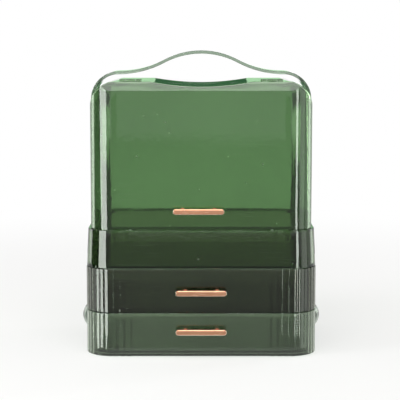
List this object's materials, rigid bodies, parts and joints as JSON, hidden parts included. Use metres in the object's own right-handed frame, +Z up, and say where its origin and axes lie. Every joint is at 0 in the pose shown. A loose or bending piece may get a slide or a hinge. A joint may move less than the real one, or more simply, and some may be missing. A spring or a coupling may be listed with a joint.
{
  "type": "makeup organizer",
  "caption": "Countertop makeup organizer of translucent green plastic: two reeded-corner drawers, a tub above, a hood with a front lid that swings up, and an arched carrying strap.",
  "frame": {"origin": "on the floor under the middle of the whole object, pulls included", "axes": "+Z up, drawers and lid face -Y, +X to the right seen from the front"},
  "size_m": [0.2554, 0.1774, 0.3115],
  "materials": {
    "clear_green_plastic": "clear, polished",
    "smoky_plastic": "clear, dark tint, polished",
    "tray_plastic": "clear, dark tint",
    "copper_metal": "rose copper plating, satin",
    "steel": "bright",
    "grey_rubber": "soft, matte"
  },
  "bodies": {
    "cabinet": {"base_plate": "smoky_plastic", "foot_pads": "grey_rubber", "housing": "smoky_plastic", "middle_shelf": "smoky_plastic", "lower_runner_left": "smoky_plastic", "lower_runner_right": "smoky_plastic", "upper_runner_left": "smoky_plastic", "upper_runner_right": "smoky_plastic", "side_dome_left": "clear_green_plastic", "side_dome_right": "clear_green_plastic", "tub": "smoky_plastic", "lid_bumpers": "grey_rubber", "hood": "clear_green_plastic", "carry_strap": "clear_green_plastic", "hinge_pin_left": "steel", "hinge_pin_right": "steel"},
    "lid": {"lid": "clear_green_plastic", "lid_pull": "copper_metal", "lid_pull_screws": "steel"},
    "upper_drawer": {"upper_drawer_front": "smoky_plastic", "upper_drawer_tray": "tray_plastic", "upper_drawer_pull": "copper_metal", "upper_pull_screws": "steel"},
    "lower_drawer": {"lower_drawer_front": "smoky_plastic", "lower_drawer_tray": "tray_plastic", "lower_drawer_pull": "copper_metal", "lower_pull_screws": "steel"}
  },
  "joints": [
    {"name": "lid_hinge", "type": "hinge", "parent": "cabinet", "child": "lid", "pos_m": [0, -0.0461, 0.281], "axis": [-1, 0, 0], "range_deg": [0, 100]},
    {"name": "upper_drawer_slide", "type": "slide", "parent": "cabinet", "child": "upper_drawer", "axis": [0, -1, 0], "range_m": [0, 0.115]},
    {"name": "lower_drawer_slide", "type": "slide", "parent": "cabinet", "child": "lower_drawer", "axis": [0, -1, 0], "range_m": [0, 0.115]}
  ]
}
